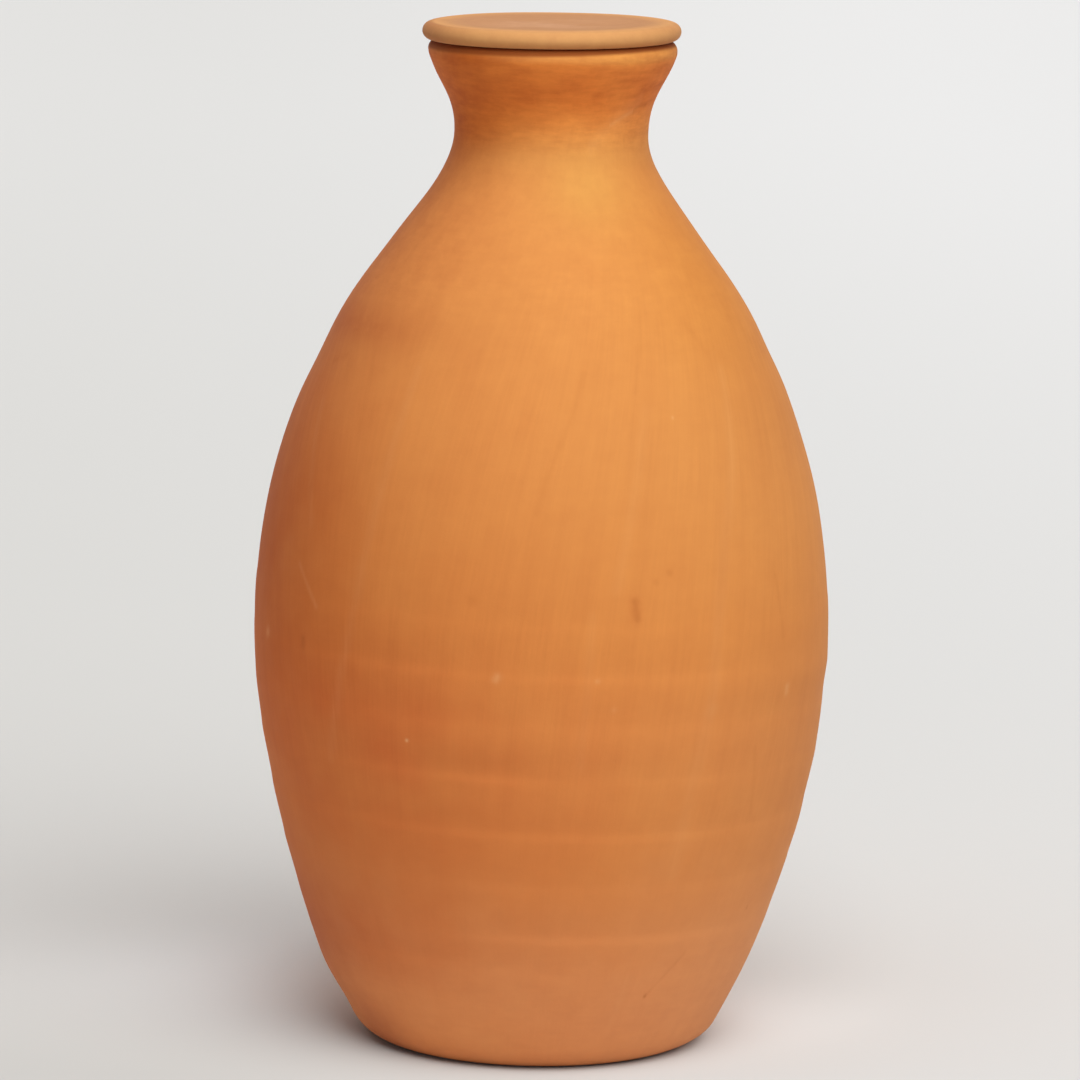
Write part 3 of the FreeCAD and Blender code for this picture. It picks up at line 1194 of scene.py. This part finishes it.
@dataclass
class Studio:
    """Pale floor, soft lamps, dim surroundings and the camera of the photograph."""

    floor_radius: float = 14.0
    floor_bounce: Colour = (0.80, 0.785, 0.76)
    floor_near: Colour = (0.622, 0.620, 0.608)
    floor_far: Colour = (0.765, 0.768, 0.775)
    floor_front: Colour = (0.574, 0.570, 0.556)
    floor_shadow_fill: Colour = (0.905, 0.935, 0.950)
    shadow_left: Place = (-0.070, 0.085, 0.072)
    shadow_right: Place = (0.045, 0.035, 0.048)
    horizon: Colour = (0.790, 0.790, 0.785)
    surroundings: Colour = (0.08, 0.08, 0.08)
    behind: Colour = (0.65, 0.65, 0.65)
    before: Colour = (0.24, 0.24, 0.24)
    suns: tuple[Sun, ...] = (
        Sun("key_lamp", 25.0, 50.0, 2.25, 55.0, (1.0, 0.985, 0.96)),
        Sun("top_lamp", -25.0, 69.0, 0.685, 55.0),
        Sun("back_lamp", -165.0, 58.0, 0.25, 60.0),
    )
    camera_place: Place = (-0.0008, -2.1915, 0.5167)
    camera_pitch: float = 9.178
    camera_roll: float = 1.118
    lens: float = 229.36
    sensor: float = 36.0

    def build(self) -> None:
        """Set up everything round the object."""
        self.lay_floor()
        for sun in self.suns:
            sun.place()
        self.light_world()
        self.aim_camera()
        bpy.context.scene.view_settings.view_transform = "Standard"

    def lay_floor(self) -> None:
        """Round level floor, its rings at radii that grow as the square of their number."""
        rows, columns = 12, 96
        radius = self.floor_radius * (np.arange(1, rows + 1) / rows) ** 2
        angles = np.linspace(0, math.tau, columns, endpoint=False)
        x = (radius[:, None] * np.cos(angles)).ravel()
        y = (radius[:, None] * np.sin(angles)).ravel()
        points = np.column_stack((x, y, np.zeros_like(x)))
        index = np.arange(rows * columns).reshape(rows, columns)
        after = np.roll(index, -1, axis=1)
        quads = np.stack((index[:-1], index[1:], after[1:], after[:-1]), axis=-1).reshape(-1, 4)
        mesh = bpy.data.meshes.new("studio_floor")
        mesh.from_pydata(points.tolist(), [], quads.tolist() + [index[0].tolist()])
        floor = bpy.data.objects.new("studio_floor", mesh)
        bpy.context.scene.collection.objects.link(floor)
        floor.data.materials.append(self.floor_paint())

    def floor_paint(self) -> bpy.types.Material:
        """Matt pale paint, seen lighter far behind, to the right and in the object's shadow."""
        material, graph = new_material("floor_paint")
        surface = Surface.of(graph)
        x, y = surface.x, surface.y
        far = y.between(-0.1, 3.2) * 0.48 + x.between(-0.40, 0.40) * 0.54
        seen = graph.mix(far, self.floor_near, self.floor_far)
        seen = graph.mix(y.between(0.10, -0.06) * x.between(0.05, -0.12), seen, self.floor_front)
        # Painted light: lighter paint where the object's shadow falls, which softens the shadow seen on the
        # floor.
        shadow_fill = surface.spot(*self.shadow_left) + surface.spot(*self.shadow_right)
        seen = graph.mix(shadow_fill, seen, self.floor_shadow_fill)
        to_camera = graph.node("ShaderNodeLightPath", output="Is Camera Ray")
        colour = graph.mix(to_camera, self.floor_bounce, seen)
        shader = graph.node("ShaderNodeBsdfDiffuse", {}, {"Color": colour, "Roughness": 1.0})
        graph.node("ShaderNodeOutputMaterial", {}, {"Surface": shader})
        return material

    def light_world(self) -> None:
        """Dim surroundings, brighter low behind and before; plain and pale where seen."""
        world = bpy.data.worlds.new("studio_world")
        world.use_nodes = True
        bpy.context.scene.world = world
        graph = Graph(world.node_tree)
        _, back, up = graph.split(graph.node("ShaderNodeTexCoord", output="Generated"))
        low = up.between(0.65, 0.05)
        lit = graph.mix(back.between(0.10, 0.75) * low, self.surroundings, self.behind)
        lit = graph.mix(back.between(-0.05, -0.60) * low, lit, self.before)
        rays = ("Is Camera Ray", "Is Glossy Ray", "Is Transmission Ray")
        seen = [graph.node("ShaderNodeLightPath", output=ray) for ray in rays]
        pale = graph.node("ShaderNodeClamp", {}, {0: seen[0] + seen[1] + seen[2]})
        colour = graph.mix(pale, lit, self.horizon)
        sky = graph.node("ShaderNodeBackground", {}, {"Color": colour, "Strength": 1.0})
        graph.node("ShaderNodeOutputWorld", {}, {"Surface": sky})

    def aim_camera(self) -> None:
        """Camera at the photograph's place: level aim pitched down, then rolled about it."""
        pitch, roll = math.radians(self.camera_pitch), math.radians(self.camera_roll)
        ahead = Vector((0.0, math.cos(pitch), -math.sin(pitch)))
        over = Vector((0.0, math.sin(pitch), math.cos(pitch)))
        right = math.cos(roll) * Vector((1.0, 0.0, 0.0)) + math.sin(roll) * over
        above = math.cos(roll) * over - math.sin(roll) * Vector((1.0, 0.0, 0.0))
        lens = bpy.data.cameras.new("photo_camera")
        lens.lens = self.lens
        lens.sensor_width = self.sensor
        lens.clip_end = 60.0
        camera = bpy.data.objects.new("photo_camera", lens)
        axes = Matrix((right, above, -ahead)).transposed().to_4x4()
        camera.matrix_world = Matrix.Translation(self.camera_place) @ axes
        bpy.context.scene.collection.objects.link(camera)
        bpy.context.scene.camera = camera


JAR_MARKS = Marks(
    arm=0.090,
    marks=(
        Mark(((18.9, 0.1528), (18.5, 0.1578)), 0.0014, Tone.DARK, 0.36),
        Mark(((23.0, 0.1636),), 0.0012, Tone.DARK, 0.16),
        Mark(((26.0, 0.1664),), 0.0012, Tone.DARK, 0.20),
        Mark(((-54.0, 0.1362), (-54.0, 0.1385)), 0.0013, Tone.DARK, 0.45),
        Mark(((-13.5, 0.1576),), 0.0019, Tone.DARK, 0.13),
        Mark(((60.2, 0.0512),), 0.0008, Tone.DARK, 0.20),
        Mark(((30.8, 0.0262),), 0.0008, Tone.DARK, 0.38, 0.08),
        Mark(((40.0, 0.0400), (30.8, 0.0262)), 0.0007, Tone.DARK, 0.09, 0.01),
        Mark(((9.5, 0.2266), (6.4, 0.2150), (1.2, 0.1980), (-1.3, 0.1850)), 0.0012, Tone.DARK, 0.09),
        Mark(((28.0, 0.2440), (22.0, 0.2210)), 0.0011, Tone.DARK, 0.05),
        Mark(((42.0, 0.2410), (47.0, 0.2310)), 0.0015, Tone.DARK, 0.06),
        Mark(((54.0, 0.1616), (55.8, 0.1416)), 0.0009, Tone.DARK, 0.10),
        Mark(((48.8, 0.1076), (50.8, 0.0856)), 0.0009, Tone.DARK, 0.08),
        Mark(((-68.0, 0.2235), (-62.0, 0.2262)), 0.0012, Tone.DARK, 0.17),
        Mark(((52.8, 0.3042), (56.6, 0.3053), (65.0, 0.3057)), 0.0008, Tone.DARK, 0.26, 0.05),
        Mark(((48.0, 0.2946),), 0.0012, Tone.DARK, 0.16),
        Mark(((-70.0, 0.1364),), 0.0017, Tone.PALE, 0.19),
        Mark(((-8.6, 0.1332), (-8.2, 0.1342)), 0.0012, Tone.PALE, 0.28, 0.03),
        Mark(((-26.8, 0.1116),), 0.0006, Tone.PALE, 0.58, 0.08),
        Mark(((57.7, 0.1234), (57.7, 0.1252)), 0.0012, Tone.PALE, 0.25, 0.03),
        Mark(((11.2, 0.1332),), 0.0009, Tone.PALE, 0.16),
        Mark(((14.6, 0.1240),), 0.0010, Tone.PALE, 0.11),
        Mark(((30.8, 0.2128),), 0.0006, Tone.PALE, 0.27),
        Mark(((24.0, 0.2150), (18.9, 0.1880), (14.7, 0.1616)), 0.0020, Tone.PALE, 0.040),
        Mark(((10.0, 0.1536), (8.3, 0.1056)), 0.0016, Tone.PALE, 0.030),
        Mark(
            ((49.9, 0.2250), (44.9, 0.1980), (39.7, 0.1750), (36.6, 0.1480), (35.5, 0.1216)),
            0.0022, Tone.PALE, 0.050,
        ),
        Mark(((35.5, 0.1216), (32.4, 0.0950), (31.4, 0.0680)), 0.0026, Tone.PALE, 0.040),
        Mark(
            ((-33.8, 0.2250), (-36.3, 0.1880), (-38.4, 0.1616), (-40.5, 0.1416), (-46.8, 0.1016)),
            0.0020, Tone.PALE, 0.045,
        ),
        Mark(((-64.5, 0.2116), (-55.0, 0.1750)), 0.0016, Tone.PALE, 0.045),
        Mark(((-57.0, 0.1616), (-50.0, 0.1496)), 0.0009, Tone.PALE, 0.080),
        Mark(((24.5, 0.0336), (22.0, 0.0136)), 0.0016, Tone.PALE, 0.045),
        Mark(((36.6, 0.2998), (44.0, 0.3020), (52.3, 0.3038)), 0.0008, Tone.PALE, 0.13, 0.04),
        Mark(((40.0, 0.3010), (55.0, 0.3060)), 0.0045, Tone.PALE, 0.09),
        Mark(((24.0, 0.2930), (36.0, 0.2990)), 0.0030, Tone.PALE, 0.07),
    ),
)


def main() -> None:
    """Build the jar, the lid and the studio in order, and report each piece."""
    logging.basicConfig(level=logging.INFO, format="%(message)s")
    jar = Jar(finish=JarClay(marks=JAR_MARKS))
    lid = Lid()
    for piece in (jar.build(), lid.build()):
        triangles = sum(len(polygon.vertices) - 2 for polygon in piece.data.polygons)
        sides = ", ".join(f"{1000 * side:.1f}" for side in piece.dimensions)
        log.info("%s: %d triangles, %s mm", piece.name, triangles, sides)
    Studio().build()
    bpy.context.view_layer.update()


if __name__ == "__main__":
    main()
